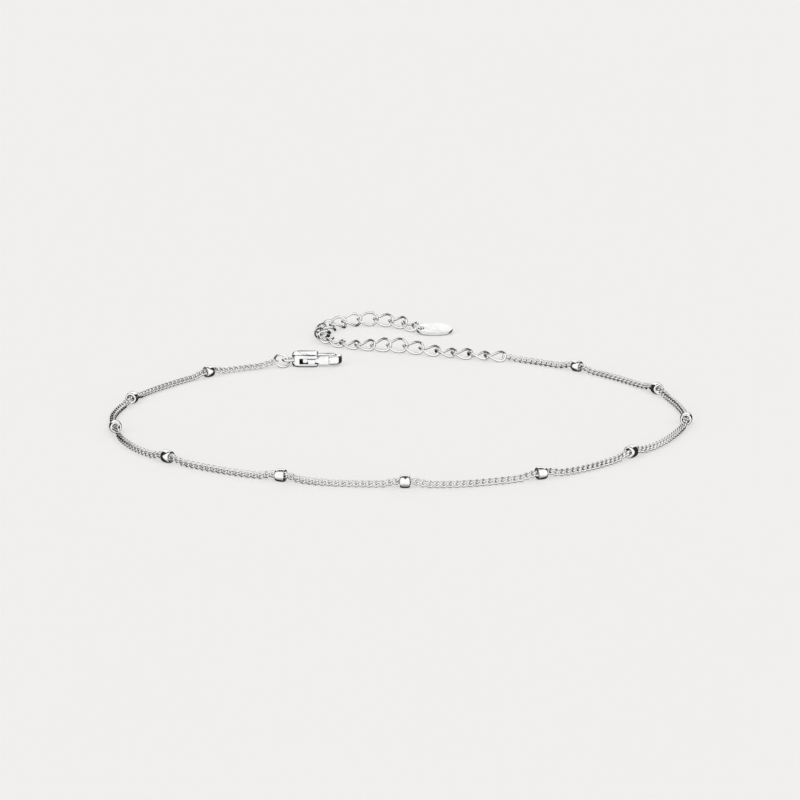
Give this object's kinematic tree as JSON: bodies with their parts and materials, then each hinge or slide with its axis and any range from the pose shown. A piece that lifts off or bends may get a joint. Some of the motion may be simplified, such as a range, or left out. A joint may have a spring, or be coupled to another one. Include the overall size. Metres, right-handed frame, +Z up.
{
  "type": "beaded anklet",
  "caption": "Fine silver-coloured anklet lying in a loop: a thin curb chain with round beads, a lobster clasp, and an extender of larger links with an oval tag.",
  "frame": {"origin": "under the middle of the part's box, on the surface that the anklet lies on", "axes": "+Z up from the surface, +Y from the front of the chain's loop towards the clasp and the extender, +X to the right along the front of the loop"},
  "size_m": [0.0902, 0.1018, 0.0025],
  "materials": {
    "chain_silver": "polished silver, fine links",
    "bead_silver": "polished silver",
    "ring_silver": "polished silver wire",
    "clasp_silver": "polished cast silver",
    "rivet_silver": "dressed flush with the cheeks",
    "link_silver": "polished silver wire",
    "tag_silver": "polished, lightly rubbed"
  },
  "bodies": {
    "anklet": {"curb_chain": "chain_silver", "bead_01": "bead_silver", "bead_02": "bead_silver", "bead_03": "bead_silver", "bead_04": "bead_silver", "bead_05": "bead_silver", "bead_06": "bead_silver", "bead_07": "bead_silver", "bead_08": "bead_silver", "bead_09": "bead_silver", "bead_10": "bead_silver", "bead_11": "bead_silver", "jump_ring": "ring_silver", "clasp_body": "clasp_silver", "clasp_rivet": "rivet_silver", "extender_link_01": "link_silver", "extender_link_02": "link_silver", "extender_link_03": "link_silver", "extender_link_04": "link_silver", "extender_link_05": "link_silver", "extender_link_06": "link_silver", "extender_link_07": "link_silver", "extender_link_08": "link_silver", "extender_link_09": "link_silver", "extender_link_10": "link_silver", "extender_link_11": "link_silver", "extender_link_12": "link_silver", "extender_link_13": "link_silver", "extender_link_14": "link_silver", "extender_link_15": "link_silver", "extender_link_16": "link_silver", "extender_link_17": "link_silver", "extender_link_18": "link_silver", "extender_link_19": "link_silver", "extender_link_20": "link_silver", "extender_link_21": "link_silver", "tag_ring": "ring_silver", "tag": "tag_silver"},
    "lever": {"clasp_lever": "clasp_silver"}
  },
  "joints": [
    {"name": "lever_hinge", "type": "hinge", "parent": "anklet", "child": "lever", "pos_m": [-0.01598, 0.01967, 0.00109], "axis": [0, 0, 1], "range_deg": [0, 18], "stiffness_Nm_per_rad": 0.002}
  ]
}
